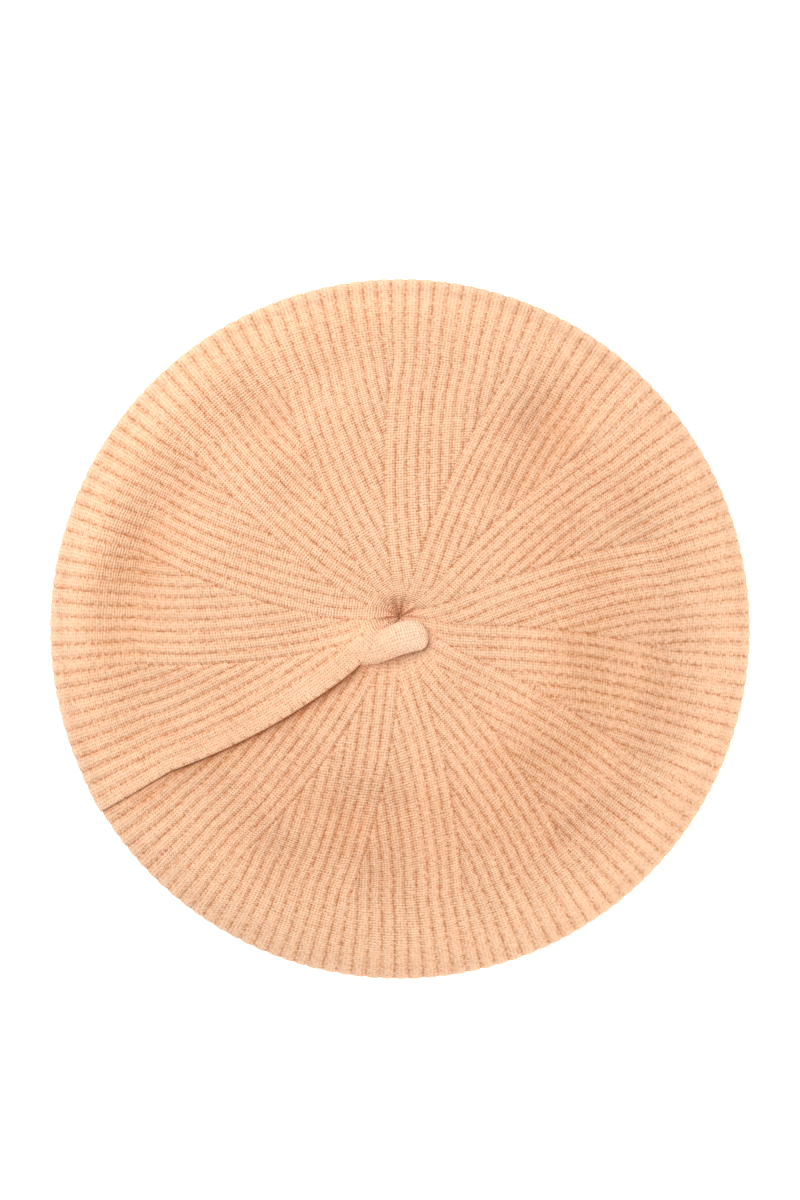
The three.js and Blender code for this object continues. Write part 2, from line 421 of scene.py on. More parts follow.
def plied(name, colour, dark):
    """Yarn, cord and thread: twisted strands with loose fibre."""
    paint = Paint(name, roughness=0.85, sheen=0.25)
    round_it, along = paint.coordinates()
    strand = ((along * 0.9 + round_it * 0.5) * pi).sine().absolute()
    fibre = paint.noise(LINT_SIZE, 3)
    patch = paint.noise(YARN_PATCH_SIZE, 2)
    # Painted shade between the twisted strands; the patches then lighten it at random.
    shade = paint.mix(((1 - strand) * 0.7).clamped(), colour, dark)
    light = tuple(min(1, c * 1.12) for c in colour)
    paint.colour(paint.mix(((patch - 0.4) * 0.6).clamped(), shade, light))
    paint.bump(strand * 0.6 + fibre * 0.4, 0.12 * MM, 0.8)
    return paint.material


def ribbon(name, colour, dark, roughness, sheen, pick):
    """Label cloth: warp and weft crossing every pick, in millimetres."""
    paint = Paint(name, roughness=roughness, sheen=sheen)
    wide, high = paint.coordinates()
    warp = (wide * (pi / pick)).sine().absolute()
    weft = (high * (pi / pick)).sine().absolute()
    weave = warp.least(weft)
    patch = paint.noise(WEAVE_PATCH_SIZE, 2)
    # Painted shade in the gaps between the threads; the patches then darken it at random.
    shade = paint.mix(((1 - weave) * 0.6).clamped(), colour, dark)
    paint.colour(paint.mix(((patch - 0.45) * 0.7).clamped(), shade, dark))
    paint.bump(weave, 0.06 * MM, 0.6)
    return paint.material


# --- the knit body


# The crown's middle line out to the rim and back to the headband: radius and height, in millimetres.
CROWN = [
    (1.2, 28.4), (3.6, 31.8), (8, 33.9), (16, 35.9), (30, 37.2), (50, 37.3), (70, 35.2), (80, 33.8),
    (88, 32.5), (97, 30.9), (106, 29.7), (116, 28.9), (126, 26.7), (133.5, 21.8),
    ((RIM - WALL / 2) / MM, 14.6), (133.4, 5.8), (118, 1.9), (105, 4), (96, 11), (91.4, 19),
]
TUCK_BEND = 2.95  # the radius of the cloth's turn over the headband's outer layer
TUCK_DEPTH = 4.4  # how far its edge reaches down between the two layers


def meridian():
    """The middle of the cloth from the gather hole to the edge tucked in the headband, in metres."""
    top = (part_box("knit_body")[1].z - WALL / 2) / MM
    lift = top - max(z for _, z in CROWN)
    points = [(r, z + lift * smooth(0, 30, z)) for r, z in CROWN]
    band_top = HEADBAND_TOP / MM
    for degrees in (0, 45, 90, 135, 180):
        a = radians(degrees)
        across, up = TUCK_BEND * cos(a), TUCK_BEND * sin(a)
        points.append((SLOT_R + TUCK_BEND + across, band_top + 1 + up))
    points.append((SLOT_R, band_top - 1.5))
    points.append((SLOT_R, band_top - TUCK_DEPTH))
    return curve_through(points) * MM


# The lie of the cloth over the headband and the puffed rim. Each line is a dip (negative) or a
# swelling: degrees round, radius, height, and its half-widths in degrees and in millimetres.
LIE = [
    (-140, 68, -2.4, 55, 16),
    (130, 72, -2.4, 30, 15),
    (40, 84, 1.4, 55, 18),
    (2, 101, -3.0, 5, 14),
    (6, 68, -1.4, 8, 12),
    (44, 106, -3.4, 17, 11),
    (44, 124, 2.0, 20, 9),
    (-66, 101, -4.0, 6, 15),
    (-70, 70, -1.6, 8, 11),
    (-92, 72, -1.5, 9, 13),
    (-94, 104, -1.8, 10, 13),
    (-130, 71, -1.7, 13, 13),
    (-133, 102, -2.2, 13, 13),
    (-168, 69, -1.9, 13, 14),
    (-171, 101, -2.0, 13, 13),
    (133, 71, -1.6, 11, 13),
    (116, 101, -2.6, 10, 13),
    (-77, 107, 3.2, 3.5, 28),
    (-51, 101, 3.0, 6, 20),
    (-28, 92, 1.6, 12, 16),
    (154, 75, 1.8, 3, 34),
    (-150, 122, 1.4, 45, 10),
    (-31, 4.5, -1.1, 75, 3.6),
    (-31, 12.0, 1.4, 50, 3.6),
]
BAND_CLEAR = HEADBAND_TOP / MM + 6.6  # over the headband the crown's middle line stays above this


def swell(places, angle, r):
    """The sum of the soft bumps in a list of places."""
    total = np.zeros(np.broadcast(angle, r).shape)
    for degrees, radius, amount, half_angle, half_width in places:
        off = np.degrees(turn_between(angle, radians(degrees))) / half_angle
        total += amount * bell(off) * bell((r - radius) / half_width)
    return total


def lie(angle, r, z):
    """How far the crown stands above its meridian's height z, in millimetres."""
    height = swell(LIE, angle, r)
    slow = np.sin(3 * angle + 0.6) + 0.7 * np.sin(5 * angle - 1.1) + 0.5 * np.sin(8 * angle + r / 19)
    pucker = np.sin(9 * angle + 0.5) + 0.6 * np.sin(14 * angle + 2)
    height += 0.35 * slow * smooth(20, 80, r) + 0.65 * pucker * bell((r - 6) / 4)
    over_band = smooth(68, 82, r) * (1 - smooth(91, 97, r))
    lowest = BAND_CLEAR - z - 9 * (1 - over_band)
    softness = 0.4
    return lowest + softness * np.logaddexp(0, (height - lowest) / softness)


# Painted shade: where the cloth is drawn in, its colour is made a little deeper, as the dips' shade. Each
# line: degrees round, radius, how much deeper, and its half-widths in degrees and in millimetres.
PAINTED_SHADE_PLACES = [
    (-150, 84, 0.15, 75, 24),
    (130, 84, 0.12, 35, 20),
    (44, 110, 0.13, 28, 16),
    (-70, 98, 0.12, 10, 24),
]


def gather_shift(r):
    """The sideways shift of the pucker and of the cloth drawn along with it."""
    return np.multiply.outer(bell(r / 16), GATHER_SHIFT)


def swirl(r):
    return SWIRL * np.clip(1 - r * MM / GORE_END, 0, 1)


def rib_number(f, r):
    """Ribs run beside a gore's far line, so this is a whole number there and in each groove."""
    t = np.maximum(r * MM / GORE_END, 1e-3)
    return RIBS - RIBS * (t**-16 + 1) ** (-1 / 16) * (1 - f)


def along_rib(f, r, s):
    """Millimetres of cloth along the ribs: beside the far line in each gore, and radial past them."""
    bias = TAU / GORES * (1 - f) * (1 - smooth(0.78, 1.22, r * MM / GORE_END))
    return s - r * (1 - np.cos(bias))


FOLD_STEPS = 9
# The seam's hook, in section: how far it laps over, and the share of its height left.
HOOK = curve_through(
    [(0, 1), (0.6, 0.95), (1.1, 0.80), (1.3, 0.56), (1.1, 0.3), (0.7, 0.12), (0.2, 0.02)], 12
)
# Painted shade in the dips: the colour deepens with how far the cloth has sunk.
DIP_PAINTED_SHADE = 0.022  # how much deeper the colour is for each millimetre that the cloth has sunk
ROLL_WIDTH = 24.0  # millimetres over which the cloth rises to the seam's edge
ROLL_RADII = (0, 8, 14, 30, 60, 100, 130, 140)
ROLL_HEIGHTS = (0.1, 0.6, 3.2, 3.9, 3.2, 1.9, 0.9, 0.6)  # at those radii
CREASE = 0.14  # how far the under side sinks beside it, as a share of the roll's height
STRIP_RADII, STRIP_WIDTHS = (0, 50, 120), (10, 8.5, 5.5)  # the plain strip along the seam's edge
RIB_DEPTH, VALLEY_DEPTH = 0.62, 0.22  # millimetres from ridge to groove, and down to a gore line
UNDER_RIB_DEPTHS = (0.2, 0.45)  # on the under side: near the headband, and what the rim adds
INNER_FACE = 0.55  # how much of the ribs' relief shows on the cloth's inner face
COLLAR_HEIGHT = 4.6  # how far the cloth rises round the stub's root
POCKET_ANGLE = radians(-31)


def down_hook(share):
    """(lap, share of height left) at a place down the hook, which runs from 0 to 1."""
    at = share * (len(HOOK) - 1)
    steps = np.arange(len(HOOK))
    return np.interp(at, steps, HOOK[:, 0]), np.interp(at, steps, HOOK[:, 1])


def fold_height(r, under):
    """The seam's roll stands up most near the stub and is a thin line at the rim and under it."""
    return ROLL_HEIGHTS[-1] if under else float(np.interp(r, ROLL_RADII, ROLL_HEIGHTS))


class Cloth:
    """Rings of points along the meridian, on the outside and then back along the inside."""

    def __init__(self):
        line = meridian() / MM
        self.s = run_along(line)
        self.line = line
        self.total = self.s[-1]
        self.rim_s = self.s[np.argmax(line[:, 0])]
        along = unit(np.gradient(line, self.s, axis=0))
        self.normal = np.stack([-along[:, 1], along[:, 0]], 1)
        self.verts, self.ribbed, self.hollow, self.rings = [], [], [], []
        self.count = 0

    def at(self, s):
        point = [np.interp(s, self.s, self.line[:, i]) for i in (0, 1)]
        n = np.array([np.interp(s, self.s, self.normal[:, i]) for i in (0, 1)])
        return (*point, *unit(n))

    def ids(self, step):
        columns = np.arange(0, COLUMNS + 1, step)
        return np.concatenate([columns, COLUMNS + 1 + np.arange(FOLD_STEPS)])

    def add_ring(self, s, outside, step):
        """A ring of the skin at s along the meridian, with a point at every so many columns."""
        r, z, nr, nz = self.at(s)
        under = s > self.rim_s
        ids = self.ids(step)
        angle, f = self.round_places(ids, step)
        rise = self.ribs_at(r, under, outside, f, angle)
        ribbed = np.full(len(ids), float(smooth(3, 26, r)))
        hollow, lap = np.zeros(len(ids)), np.zeros(len(ids))
        if outside:
            plain = self.plain_strip(ids, r, under)
            rise, lap, hollow = self.lapped(ids, r, under, rise * (1 - 0.92 * plain))
            ribbed = ribbed * (1 - plain)
        turned = SEAM_ANGLE + angle + swirl(r)
        crown = self.crown_share(s)
        sunk = lie(turned, r, z) * crown
        # Painted shade on the crown: deeper where the cloth has sunk, and in the places listed for it.
        hollow = hollow - DIP_PAINTED_SHADE * np.clip(sunk, -6, 3) + swell(PAINTED_SHADE_PLACES, turned, r) * crown
        lift = sunk + self.collar(turned, r, outside, under)
        turned = turned + lap / max(r, 2.0)
        off_middle = WALL / MM / 2 * (1 if outside else -1) + rise
        radius = r + nr * off_middle
        ring = around(radius, turned, z + nz * off_middle + lift)
        ring[:, :2] += gather_shift(r)
        self.verts.append(ring * MM)
        self.ribbed.append(ribbed)
        self.hollow.append(hollow + self.pocket(turned, r))
        self.rings.append((self.count, ids, r, s))
        self.count += len(ids)

    def round_places(self, ids, step):
        """(angle from the seam, share of the gore passed) of each point."""
        column = np.minimum(ids, COLUMNS)
        folded = ids - COLUMNS  # 0 at the upper edge, then 1 and on down the hook
        gap = TAU / COLUMNS * step * 0.6  # the fold's own room, so that no two columns meet
        back = np.where(folded >= 0, gap * (1 - folded / (FOLD_STEPS + 1)), 0)
        f = (column % GORE_COLUMNS) / GORE_COLUMNS
        f[column == COLUMNS] = 1.0
        return TAU * column / COLUMNS - back, f

    def beside_seam(self, ids, r):
        """(whether on the seam's upper side, millimetres before the seam, millimetres after it)."""
        column = np.minimum(ids, COLUMNS)
        return ids >= COLUMNS / 2, TAU * (column - COLUMNS) / COLUMNS * r, TAU * column / COLUMNS * r

    def plain_strip(self, ids, r, under):
        """1 beside the seam on its upper side, where the edge is knitted without ribs."""
        upper, before_seam, _ = self.beside_seam(ids, r)
        strip = np.interp(r, STRIP_RADII, STRIP_WIDTHS)
        return smooth(-strip, -0.45 * strip, before_seam) * (not under) * upper

    def lapped(self, ids, r, under, rise):
        """The last gore's edge rolls up and laps over the first gore's. Returns the rise, the lap and the
        shade painted at each point, in the crease beside the edge and down the hook."""
        upper, before_seam, after_seam = self.beside_seam(ids, r)
        in_fold = ids >= COLUMNS
        top = fold_height(r, under)
        low = -CREASE * top
        width = min(ROLL_WIDTH, 1.3 * r)
        roll = smooth(-width, 0.35 * width, before_seam) / smooth(-width, 0.35 * width, 0)
        rise = rise + top * roll * upper + low * np.exp(-after_seam / 4.0) * ~upper
        over, left = down_hook(np.clip(ids - COLUMNS, 0, FOLD_STEPS + 1) / (FOLD_STEPS + 1))
        rise = np.where(in_fold, low + (top - low) * left, rise)
        lap = np.where(in_fold, over * min(1.0, top / 3.0), 0)
        # Painted shade in the crease beside the roll's edge and under the hook.
        under_roll = np.where(upper, 0, 1.25 * np.exp(-after_seam / 2.6))
        hollow = np.maximum(under_roll, in_fold * smooth(0.9, 0.5, left)) * min(1, top / 2.0)
        return rise, lap, hollow

    def crown_share(self, s):
        """1 over the crown, fading to 0 just past the rim."""
        return float(1 - smooth(self.rim_s - 14, self.rim_s + 6, s))

    def ribs_at(self, r, under, outside, f, angle):
        """Broad ridges and narrow grooves, with a shallow valley where two gores meet."""
        rib = rib_number(f, r)
        near_band, at_rim = UNDER_RIB_DEPTHS
        depth = near_band + at_rim * smooth(88, 108, r) if under else RIB_DEPTH * smooth(3, 50, r)
        wander = 0.07 * np.sin(23 * angle + r / 9) + 0.05 * np.sin(41 * angle - r / 6)
        from_line = np.minimum(f, 1 - f) * TAU / GORES * r
        wander = wander * smooth(0, 5, from_line)
        ridge = np.abs(np.sin(pi * (rib + wander))) ** 0.6
        ridge = ridge * smooth(-0.4, 1.5, f * TAU / GORES * r + 9 * (r * MM > GORE_END))
        valley = VALLEY_DEPTH * bell(from_line / 1.1) * smooth(10, 30, r) * (r * MM < 1.1 * GORE_END)
        rise = depth * (ridge - 0.6) - valley
        return rise if outside else rise * INNER_FACE

    def collar(self, angle, r, outside, under):
        """The cloth rises round the stub's root, and the roll runs into it."""
        if under or r > 40:
            return 0.0
        x, y = r * np.cos(angle), r * np.sin(angle)
        behind = STUB_AXIS[0] * (x - STUB_ROOT[0]) + STUB_AXIS[1] * (y - STUB_ROOT[1])
        aside = STUB_AXIS[0] * (y - STUB_ROOT[1]) - STUB_AXIS[1] * (x - STUB_ROOT[0])
        lengthways = bell((behind + 1) / np.where(behind > -1, 7.0, 16))
        hump = COLLAR_HEIGHT * bell((aside - 2.5) / 8.0) * lengthways
        return hump if outside else hump * 0.9

    def pocket(self, angle, r):
        """How much shade is painted in the puckered hollow beside the stub, from 0 to 1."""
        aside = turn_between(angle, POCKET_ANGLE) * r / 7.0
        streaks = 0.62 + 0.38 * np.sin(9 * angle + 2.1) * np.sin(14 * angle)
        return 0.8 * bell(aside) * bell((r - 1.0) / 4.0) * streaks if r < 20 else np.zeros(len(angle))

    def pairs(self, ring, columns, base):
        """Knit and gore coordinates of the corners at these columns; past the seam they count on."""
        r, s = ring[2], ring[3]
        past = np.maximum(columns - COLUMNS, 0)
        f = np.where(past > 0, 1.0, (np.minimum(columns, COLUMNS) - base) / GORE_COLUMNS)
        knit = np.stack([rib_number(f, r) + 0.1 * past, along_rib(f, r, s)], -1)
        near = np.where(past > 0, 0, np.minimum(f, 1 - f)) * TAU / GORES * r
        return knit, np.stack([near, np.full(near.shape, r)], -1)

    def joined(self, low, high):
        """The faces between two rings, with their coordinates; one may have finer columns."""
        lower_is_coarse = len(low[1]) <= len(high[1])
        coarse, fine = (low, high) if lower_is_coarse else (high, low)
        left = coarse[1]
        right = np.append(left[1:], COLUMNS + FOLD_STEPS + 1)
        base = np.minimum(left // GORE_COLUMNS * GORE_COLUMNS, COLUMNS - GORE_COLUMNS)
        first = np.searchsorted(fine[1], left)
        last = np.append(first[1:], len(fine[1]))
        n = len(left)
        for share in sorted(set(last - first)):
            pick = np.flatnonzero(last - first == share)
            steps = first[pick, None] + np.arange(share + 1)
            columns = np.append(fine[1], COLUMNS + FOLD_STEPS + 1)[steps]
            near = np.stack([pick, (pick + 1) % n], 1) + coarse[0]
            near_columns = np.stack([left[pick], right[pick]], 1)
            far = steps % len(fine[1]) + fine[0]
            here = base[pick, None]
            if lower_is_coarse:
                index = np.hstack([near, far[:, ::-1]])
                uv = [(coarse, near_columns), (fine, columns[:, ::-1])]
            else:
                index = np.hstack([far, near[:, ::-1]])
                uv = [(fine, columns), (coarse, near_columns[:, ::-1])]
            both = [self.pairs(ring, c, here) for ring, c in uv]
            yield index, np.hstack([x[0] for x in both]), np.hstack([x[1] for x in both])

    def skin(self):
        """Every ring joined to the next, and the last to the first."""
        faces, knit, gore = [], [], []
        for low, high in zip(self.rings, self.rings[1:] + self.rings[:1]):
            for index, a, b in self.joined(low, high):
                faces += index.tolist()
                knit.append(a.reshape(-1, 2))
                gore.append(b.reshape(-1, 2))
        return faces, np.vstack(knit), np.vstack(gore)


def zone_places(zones, outside):
    """Ring places for zones of (start, end, spacing, column step)."""
    places = []
    for start, end, spacing, step in zones:
        count = round(abs(end - start) / spacing)
        places += [(start + (end - start) * i / count, outside, step) for i in range(count)]
    return places


def ring_places(cloth):
    """(arc length, outside or not, column step) for each ring, from the gather hole and back to it."""
    total = cloth.total
    tuck = total - 14
    outer = [(0, 10, 0.8, 4), (10, 25, 1.3, 4), (25, 55, 1.5, 2), (55, tuck, 1.4, 1), (tuck, total, 1.2, 2)]
    inner = [(total, 84, 3.2, 4), (84, 22, 1.7, 2), (22, 0, 1.5, 4)]
    return zone_places(outer, True) + zone_places(inner, False) + [(0, False, 4)]


def knit_body(cloth):
    """Returns the piece with its cloth's area."""
    for s, outside, step in ring_places(cloth):
        cloth.add_ring(s, outside, step)
    faces, knit, gore = cloth.skin()
    piece = mesh_object("knit_cloth", np.vstack(cloth.verts), faces)
    corner_pairs(piece, "knit", knit)
    corner_pairs(piece, "gore", gore)
    point_values(piece, "ribbed", np.concatenate(cloth.ribbed))
    point_values(piece, "hollow", np.concatenate(cloth.hollow))
    middle = (cloth.line[1:, 0] + cloth.line[:-1, 0]) / 2
    flat_area = float((TAU * middle * np.diff(cloth.s)).sum()) * MM * MM
    return piece, flat_area


# --- the stub


STUB_BACK = -9.0  # millimetres from the hinge, where the stub starts inside the crown's roll
STUB_ROOT_END, STUB_TIP = 4.0, 6.0  # the lengths that its two ends are rounded over
STUB_WIDER, STUB_FLATTER = 1.12, 0.84  # its width and height, as shares of its diameter in the model
STUB_SAG = 1.2  # how far it lies below the model's
STUB_SIDES = 96
STUB_RIBS = 7


def stub_stations():
    """Places along the stub from its hinge, closer together at its round ends."""
    quarter = pi / 2
    root = STUB_BACK + STUB_ROOT_END * (1 - np.cos(np.linspace(0, quarter, 8)))
    tip = STUB_REACH - STUB_TIP * np.cos(np.linspace(0, quarter, 18))
    return np.concatenate([root[:-1], np.linspace(root[-1], tip[0], 60), tip[1:]])


def stub_radius(x):
    past_root = (STUB_BACK + STUB_ROOT_END - x) / STUB_ROOT_END
    past_tip = (x - STUB_REACH + STUB_TIP) / STUB_TIP
    end = max(0, past_root, past_tip)
    return STUB_RADIUS * sqrt(max(0.0004, 1 - end**2.3))


def stub_ring(x):
    """The stub's soft, flattened section at x, which sinks to the crown at its root and its tip."""
    phi = TAU * np.arange(STUB_SIDES) / STUB_SIDES
    sideways = np.array([-STUB_AXIS[1], STUB_AXIS[0]])
    at_root, at_tip = smooth(7, STUB_BACK, x), smooth(6, 20, x)
    bulge = 1 + 0.10 * bell((x - 12) / 8) - 0.10 * smooth(0, STUB_BACK, x)
    uneven = 1 - 0.03 * np.sin(2 * phi + 0.2 * x) + 0.02 * np.sin(3 * phi - 0.35 * x)
    wide = stub_radius(x) * STUB_WIDER * bulge * uneven
    high = stub_radius(x) * STUB_FLATTER * uneven * np.where(np.sin(phi) < 0, 0.9, 1.0)
    bend = 0.5 + 0.7 * sin(x / 6) + 1.6 * smooth(4, STUB_BACK, x)
    centre = STUB_HEIGHT - STUB_SAG - 0.6 * at_root - 1.0 * at_tip
    xy = np.array(STUB_ROOT) + np.array(STUB_AXIS) * x + np.outer(bend + wide * np.cos(phi), sideways)
    return np.column_stack([xy, centre + high * np.sin(phi)])


def stub():
    """A soft knit finger that comes out of the crown's roll and lies across the gather."""
    x = stub_stations()
    piece, corners = tube("knit_stub", np.array([stub_ring(place) for place in x]) * MM)
    run = run_along(np.column_stack([x, [stub_radius(place) for place in x]]))
    along = np.interp(corners[:, 1], np.arange(len(x)), run)
    corner_pairs(piece, "knit", np.column_stack([corners[:, 0] / STUB_SIDES * STUB_RIBS, along]))
    corner_pairs(piece, "gore", np.tile([9.0, 2.6], (len(corners), 1)))  # clear of the gore lines' eyelets
    height = np.array([v.co.z for v in piece.data.vertices]) / MM
    below = smooth(STUB_HEIGHT - 1.5, STUB_HEIGHT - 4.5, height)
    paler = 0.10 + 0.38 * smooth(0, 15, np.append(np.repeat(x, STUB_SIDES), x[[0, -1]]))
    point_values(piece, "ribbed", np.zeros(len(height)))
    # Painted shade on the stub's underside; its upper side is made paler towards the tip.
    point_values(piece, "hollow", 0.55 * below - paler * (1 - below))
    return piece


# --- the headband


HEADBAND_FOLD = 3.0  # millimetres from the folded edge to where the layers run straight
HEADBAND_RIBS = 176
RIB_STEPS = 6
RIB_RELIEF = 0.42


def headband_section():
    """Points round the folded strip's section: down the outside, round the fold, up the inside, and
    back along the slot. In millimetres from the axis and from the floor."""
    out_r, in_r = HEADBAND_OUT / MM, HEADBAND_IN / MM
    top, layer, edge = HEADBAND_TOP / MM, HEADBAND_LAYER, 0.75
    middle = (in_r + out_r) / 2
    sides = np.linspace(HEADBAND_FOLD, top - edge, 12)
    slot = np.linspace(HEADBAND_FOLD, top - edge, 6)
    section = [(out_r, z) for z in sides]
    section += [(out_r - 0.4, top - 0.1), (out_r - layer + 0.5, top - 0.1)]
    section += [(out_r - layer, z) for z in slot[::-1]]
    section += [(out_r - layer - 0.6, 2.1), (in_r + layer + 0.6, 2.1)]
    section += [(in_r + layer, z) for z in slot]
    section += [(in_r + layer - 0.5, top - 0.1), (in_r + 0.4, top - 0.1)]
    section += [(in_r, z) for z in sides[::-1]]
    for degrees in (200, 225, 245, 262, 278, 295, 315, 340):
        a = radians(degrees)
        section.append((middle + (out_r - middle) * cos(a), HEADBAND_FOLD * (1 + sin(a))))
    return np.array(section)


def headband():
    """A fine one-and-one rib strip, folded along its lower edge round the elastic. Returns the piece
    and the strip's flat width and length."""
    section = headband_section()
    after, before = np.roll(section, -1, 0), np.roll(section, 1, 0)
    tangent = unit(after - before)
    normal = np.stack([tangent[:, 1], -tangent[:, 0]], 1)
    out_r, in_r = HEADBAND_OUT / MM, HEADBAND_IN / MM
    shown = (section[:, 0] > out_r - 0.3) | (section[:, 0] < in_r + 0.3) | (section[:, 1] < 2.0)
    phase = np.arange(HEADBAND_RIBS * RIB_STEPS) / RIB_STEPS
    rings = []
    for p in phase:
        rise = RIB_RELIEF * (abs(sin(pi * p)) ** 0.8 - 0.62)
        point = section + normal * (rise * shown)[:, None]
        theta = TAU * p / HEADBAND_RIBS + 0.1 / out_r * sin(3 * p)
        level = np.maximum(point[:, 1], 0.02)
        rings.append(around(point[:, 0], theta, level))
    piece, corners = tube("rib_headband", np.array(rings) * MM, closed=True)
    round_section = run_along(np.vstack([section, section[:1]]))
    down = np.interp(corners[:, 0], np.arange(len(round_section)), round_section)
    corner_pairs(piece, "knit", np.column_stack([corners[:, 1] / RIB_STEPS, down]))
    strip = (TAU * SLOT_R * MM, round_section[-1] / 2 * MM)
    return piece, strip


# --- yarns and threads


def strand_skin(line, diameter, closed, plies, lay, sides):
    """One plied yarn along a line, in millimetres: its lobes wind round it."""
    line = np.asarray(line, float)
    side, up = path_normals(line, closed)
    run = run_along(line)
    if closed:
        whole = run[-1] + np.linalg.norm(line[0] - line[-1])
        lay = whole / max(1, round(whole / lay))
    phi = TAU * np.arange(sides) / sides
    rings = []
    for p, s, u, d in zip(line, side, up, run):
        lobe = 0.80 + 0.20 * np.abs(np.cos(plies / 2 * (phi + TAU * d / lay)))
        r = diameter / 2 * lobe
        rings.append(p + np.outer(r * np.cos(phi), s) + np.outer(r * np.sin(phi), u))
    verts, faces, corners = tube_skin(np.array(rings), closed)
    at = np.interp(corners[:, 1], np.arange(len(run)), run)
    return verts, faces, np.column_stack([corners[:, 0] / sides * plies, at / diameter])


def yarn(name, lines, diameter, closed=False, plies=3, lay=3.2, sides=12):
    """One piece of yarn or thread along one or more lines, in millimetres. The lay is in diameters."""
    verts, faces, pairs, count = [], [], [], 0
    for line in lines:
        v, f, uv = strand_skin(line, diameter, closed, plies, lay * diameter, sides)
        verts.append(v)
        faces += [tuple(i + count for i in face) for face in f]
        pairs.append(uv)
        count += len(v)
    piece = mesh_object(name, np.vstack(verts) * MM, faces)
    corner_pairs(piece, "knit", np.vstack(pairs))
    return piece


def circle_line(radius, height, count):
    return around(radius, TAU * np.arange(count) / count, height)


def chain_line(base, outward, pitch, width, closed=False):
    """A chain stitch as one running yarn: each loop goes forward round the last one, and back."""
    base, outward = np.asarray(base, float), np.asarray(outward, float)
    if closed:
        base, outward = np.vstack([base, base[:1]]), np.vstack([outward, outward[:1]])
    run = run_along(base)
    links = round(run[-1] / pitch)
    per_link = 14
    t = np.arange(links * per_link + (0 if closed else 1)) / per_link
    forward = (t + 0.42 * np.sin(TAU * t)) * run[-1] / links
    forward = forward % run[-1] if closed else np.clip(forward, 0, run[-1])

    def there(values):
        return np.stack([np.interp(forward, run, values[:, i]) for i in range(3)], 1)

    across = unit(np.cross(there(np.gradient(base, axis=0)), there(outward)))
    sway = width / 2 * np.sin(TAU * t + 0.9)
    bob = 0.28 * width * np.cos(2 * TAU * t)
    return there(base) + across * sway[:, None] + there(outward) * bob[:, None]


def elastic_ring():
    """The braided elastic in the headband's fold."""
    low, high = box_mm("headband_elastic")
    line = circle_line(SLOT_R, (low.z + high.z) / 2, 900)
    return yarn("braided_elastic", [line], high.z - low.z, closed=True, plies=8, lay=4, sides=24)


def linking_stitches():
    """The chain that links the body's edge between the headband's two layers, seen inside."""
    low, high = box_mm("headband_linking_chain")
    line = circle_line(high.x - (high.z - low.z) / 2, (low.z + high.z) / 2, 720)
    outward = unit(-line * (1, 1, 0))
    chain = chain_line(line, outward, pitch=2.9, width=1.0, closed=True)
    return yarn("linking_stitches", [chain], 0.48, closed=True, sides=8)


def end_seam_stitches():
    """A chain up the outside of the headband, where the strip's two ends meet."""
    low, high = box_mm("headband_end_seam")
    points, margin = 40, 0.4
    up = np.linspace(low.z + margin, high.z - margin, points)
    base = np.column_stack([np.zeros(points), np.full(points, (low.y + high.y) / 2), up])
    chain = chain_line(base, np.tile((0, 1, 0), (points, 1)), pitch=2.4, width=1.1)
    return yarn("end_seam_stitches", [chain], 0.5, sides=8)


def back_seam_stitches(cloth):
    """The chain that joins the cloth's first and last gores, on the inside under the linked seam."""
    clearance = WALL / MM / 2 + 1.0
    gather_end, headband_side = 16.0, 97
    base, outward = [], []
    for s in np.arange(0, cloth.total, 1.5):
        r, z, nr, nz = cloth.at(s)
        if r < gather_end or (s > cloth.rim_s and r < headband_side):
            continue
        turned = SEAM_ANGLE + swirl(r)
        out = np.array([cos(turned), sin(turned), 0])
        height = z - nz * clearance + lie(turned, r, z) * cloth.crown_share(s)
        base.append(out * (r - nr * clearance) + np.array([0, 0, height]))
        outward.append(-(out * nr + np.array([0, 0, nz])))
    chain = chain_line(base, outward, pitch=2.6, width=1.3)
    return yarn("back_seam_stitches", [chain], 0.6, sides=8)


def gather_stitches():
    """The drawn-up yarn in running stitches under the crown, one to a gore."""
    low, high = box_mm("crown_gather_yarn")
    a = TAU * np.arange(300) / 300
    radius = (high.x - low.x) / 2 - 0.8 + 0.25 * np.sin(4 * a)
    up = (low.z + high.z) / 2 + 1.9 * np.abs(np.sin(GORES / 2 * a)) ** 0.7
    line = around(radius, a, up)
    line[:, :2] += gather_shift(radius)
    return yarn("gather_stitches", [line], 1.3, closed=True)


def knot_line(centre, size):
    """A trefoil, for a small tight knot."""
    t = TAU * np.arange(96) / 96
    loop = np.stack([np.sin(t) + 2 * np.sin(2 * t), np.cos(t) - 2 * np.cos(2 * t), -np.sin(3 * t)], 1)
    return np.array(centre) + loop * (size / 3, size / 3, size / 2.4)


def gather_knot_yarn():
    low, high = box_mm("gather_knot")
    centre = (*GATHER_SHIFT, (low.z + high.z) / 2 - 0.3)
    return yarn("gather_knot_yarn", [knot_line(centre, 1.7)], 1.5, closed=True)


def anchor_yarn():
    """Straight down from the stub's root through the crown, and wound into a knot at its end."""
    low, high = box_mm("stalk_anchor_yarn")
    knot, winding, turns = low.z + 1.4, 0.85, 2.5
    down = np.column_stack([np.zeros((20, 2)), np.linspace(high.z, knot + 0.9, 20)])
    t = np.linspace(0, 1, 60)
    wound = around(winding, turns * TAU * t, knot + 0.8 - 1.6 * t)
    tail = np.linspace((-0.6, 0.2, knot - 0.9), (0.2, 0.4, low.z + 0.1), 6)
    line = np.vstack([down, wound, tail]) + (*STUB_ROOT, 0)
    return yarn("anchor_yarn", [line], 1.0, sides=10)


# --- labels


